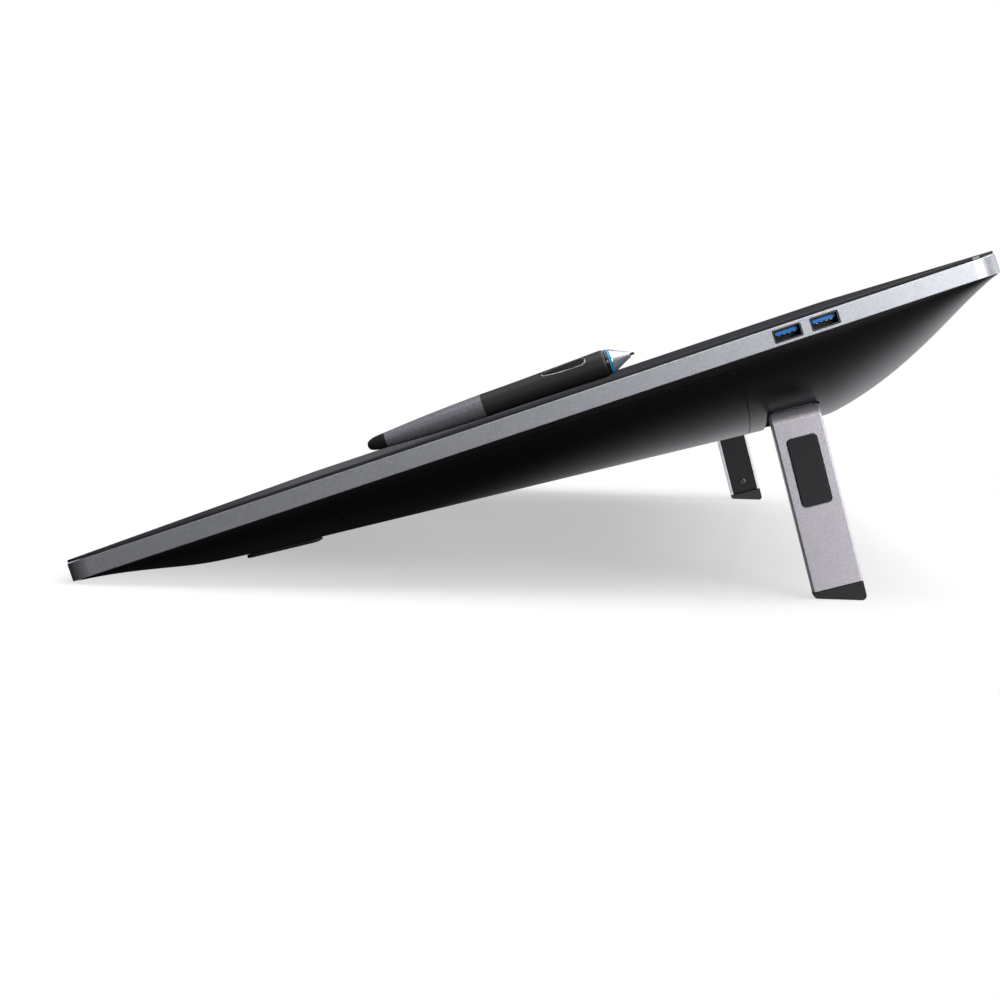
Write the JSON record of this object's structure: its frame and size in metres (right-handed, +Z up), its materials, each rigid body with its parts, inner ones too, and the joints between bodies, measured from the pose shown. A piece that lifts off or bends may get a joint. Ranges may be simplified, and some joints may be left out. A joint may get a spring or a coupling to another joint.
{
  "type": "pen drawing tablet",
  "caption": "Large pen display with edge-to-edge glass, a slim metal frame, a curved dark back, fold-out legs and a pressure pen lying on the glass.",
  "frame": {"origin": "on the desk, under the middle of the display's footprint", "axes": "+X to the user's right, +Y away from the user, +Z up; the glass is tilted 20 degrees about X, low edge towards the user"},
  "size_m": [0.77, 0.4402, 0.1689],
  "materials": {
    "screen_glass": "gloss black, dark screen behind it",
    "frame_metal": "fine sparkling grey coat",
    "back_shell": "satin black",
    "leg_metal": "fine sparkling grey coat",
    "leg_inlay": "satin black",
    "dark_rubber": "matt",
    "plain_steel": "satin",
    "chassis_metal": "satin",
    "screen_stack": "screen and its backlight, inside",
    "circuit_board": "satin green",
    "tongue_blue": "satin blue",
    "button_black": "gloss black",
    "light_pipe": "clear",
    "pen_rubber": "satin soft grip",
    "pen_grey": "satin metallic grey",
    "pen_gloss": "gloss black",
    "pen_ring": "satin blue",
    "pen_chrome": "polished"
  },
  "bodies": {
    "display": {"front_glass": "screen_glass", "side_frame": "frame_metal", "lcd_panel": "screen_stack", "sensor_board": "circuit_board", "chassis_plate": "chassis_metal", "status_light": "light_pipe", "main_board": "circuit_board", "heat_spreader": "chassis_metal", "power_board": "circuit_board", "rear_housing": "back_shell", "arm_mount_plate": "plain_steel", "power_socket": "button_black", "display_socket_1": "plain_steel", "display_socket_2": "plain_steel", "usb_host_socket": "plain_steel", "usb_socket_right_1": "plain_steel", "usb_tongue_right_1": "tongue_blue", "usb_socket_right_2": "plain_steel", "usb_tongue_right_2": "tongue_blue", "usb_socket_left_1": "plain_steel", "usb_tongue_left_1": "tongue_blue", "usb_socket_left_2": "plain_steel", "usb_tongue_left_2": "tongue_blue", "front_foot_right": "dark_rubber", "front_foot_left": "dark_rubber", "front_edge_pad_right": "dark_rubber", "front_edge_pad_left": "dark_rubber", "hinge_bracket_right": "plain_steel", "hinge_bracket_left": "plain_steel"},
    "leg_right": {"leg_channel_right": "leg_metal", "leg_inner_cover_right": "leg_inlay", "leg_pad_right": "dark_rubber", "leg_foot_right": "dark_rubber", "hinge_pin_right": "plain_steel", "leg_magnet_upper_right": "plain_steel", "leg_magnet_lower_right": "plain_steel"},
    "leg_left": {"leg_channel_left": "leg_metal", "leg_inner_cover_left": "leg_inlay", "leg_pad_left": "dark_rubber", "leg_foot_left": "dark_rubber", "hinge_pin_left": "plain_steel", "leg_magnet_upper_left": "plain_steel", "leg_magnet_lower_left": "plain_steel"},
    "cover": {"cable_cover": "back_shell"},
    "button": {"power_button": "button_black"},
    "pen": {"pen_cone": "pen_grey", "pen_colour_ring": "pen_ring", "pen_collar_ring": "pen_gloss", "pen_grip": "pen_rubber", "pen_switch_bezel": "pen_chrome", "pen_barrel": "pen_grey", "pen_core": "circuit_board"},
    "nib": {"pen_nib": "pen_gloss"},
    "switch": {"pen_side_switch": "pen_gloss"},
    "eraser": {"pen_eraser": "pen_gloss"}
  },
  "joints": [
    {"name": "leg_right_fold", "type": "hinge", "parent": "display", "child": "leg_right", "pos_m": [0.341, 0.13117, 0.08667], "axis": [0, 0.9613, 0.2756], "range_deg": [0, 90]},
    {"name": "leg_left_fold", "type": "hinge", "parent": "display", "child": "leg_left", "pos_m": [-0.341, 0.13117, 0.08667], "axis": [0, -0.9613, -0.2756], "range_deg": [0, 90]},
    {"name": "cover_release", "type": "slide", "parent": "display", "child": "cover", "axis": [0, 0.2614, -0.9652], "range_m": [0, 0.018]},
    {"name": "power_press", "type": "slide", "parent": "display", "child": "button", "axis": [0, -0.9397, -0.342], "range_m": [0, 0.0008], "stiffness_N_per_m": 800},
    {"name": "pen_lift", "type": "slide", "parent": "display", "child": "pen", "axis": [0, -0.342, 0.9397], "range_m": [0, 0.08]},
    {"name": "nib_press", "type": "slide", "parent": "pen", "child": "nib", "axis": [0, -0.9349, -0.3549], "range_m": [0, 0.0002], "stiffness_N_per_m": 500},
    {"name": "eraser_press", "type": "slide", "parent": "pen", "child": "eraser", "axis": [0, 0.9349, 0.3549], "range_m": [0, 0.0002], "stiffness_N_per_m": 500},
    {"name": "switch_rock", "type": "hinge", "parent": "pen", "child": "switch", "pos_m": [0.22561, 0.01411, 0.10784], "axis": [0.7431, 0.2374, -0.6256], "range_deg": [-1.5, 1.5], "stiffness_Nm_per_rad": 0.05}
  ]
}
